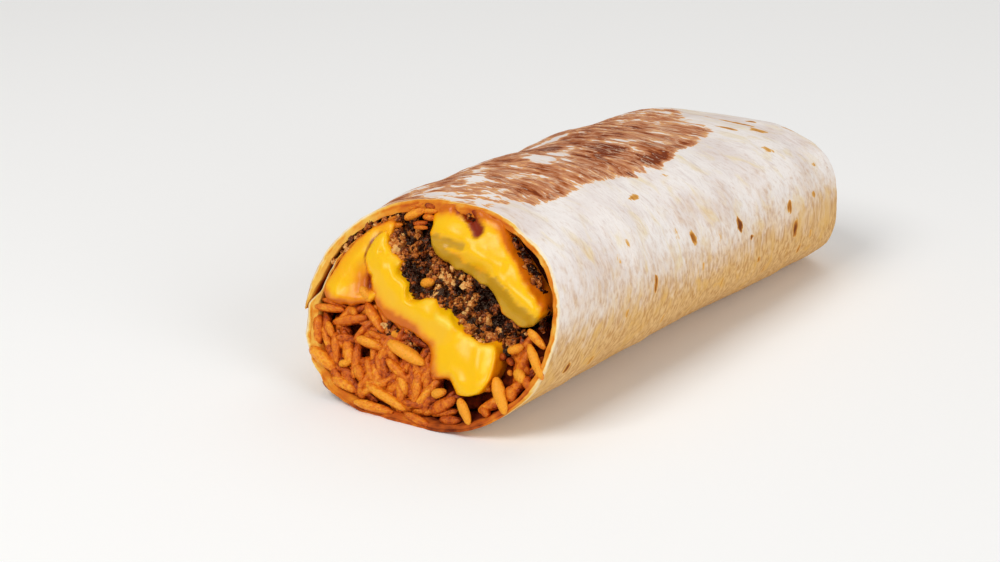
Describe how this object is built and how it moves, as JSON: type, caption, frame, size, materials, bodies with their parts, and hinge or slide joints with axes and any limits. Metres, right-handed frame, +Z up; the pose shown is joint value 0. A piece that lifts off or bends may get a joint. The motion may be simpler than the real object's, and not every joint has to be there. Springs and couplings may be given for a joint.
{
  "type": "burrito",
  "caption": "Filled flour tortilla roll lying on its flat underside, one end cut open on a slant to show rice, crumbled beef and cheese sauce, the other end tucked shut",
  "frame": {"origin": "under the middle of the bounding box, on the surface the roll lies on", "axes": "+Z up, the roll lies along Y with its cut end towards -Y, its long seam on the -X side"},
  "size_m": [0.0682, 0.1466, 0.043],
  "materials": {
    "tortilla": "matte",
    "rice": "satin",
    "beef": "satin",
    "cheese_sauce": "gloss"
  },
  "bodies": {
    "root": {"tortilla": "tortilla", "rice": "rice", "beef": "beef", "beef_side": "beef", "cheese_lower": "cheese_sauce", "cheese_upper": "cheese_sauce", "cheese_fold": "cheese_sauce"}
  },
  "joints": []
}
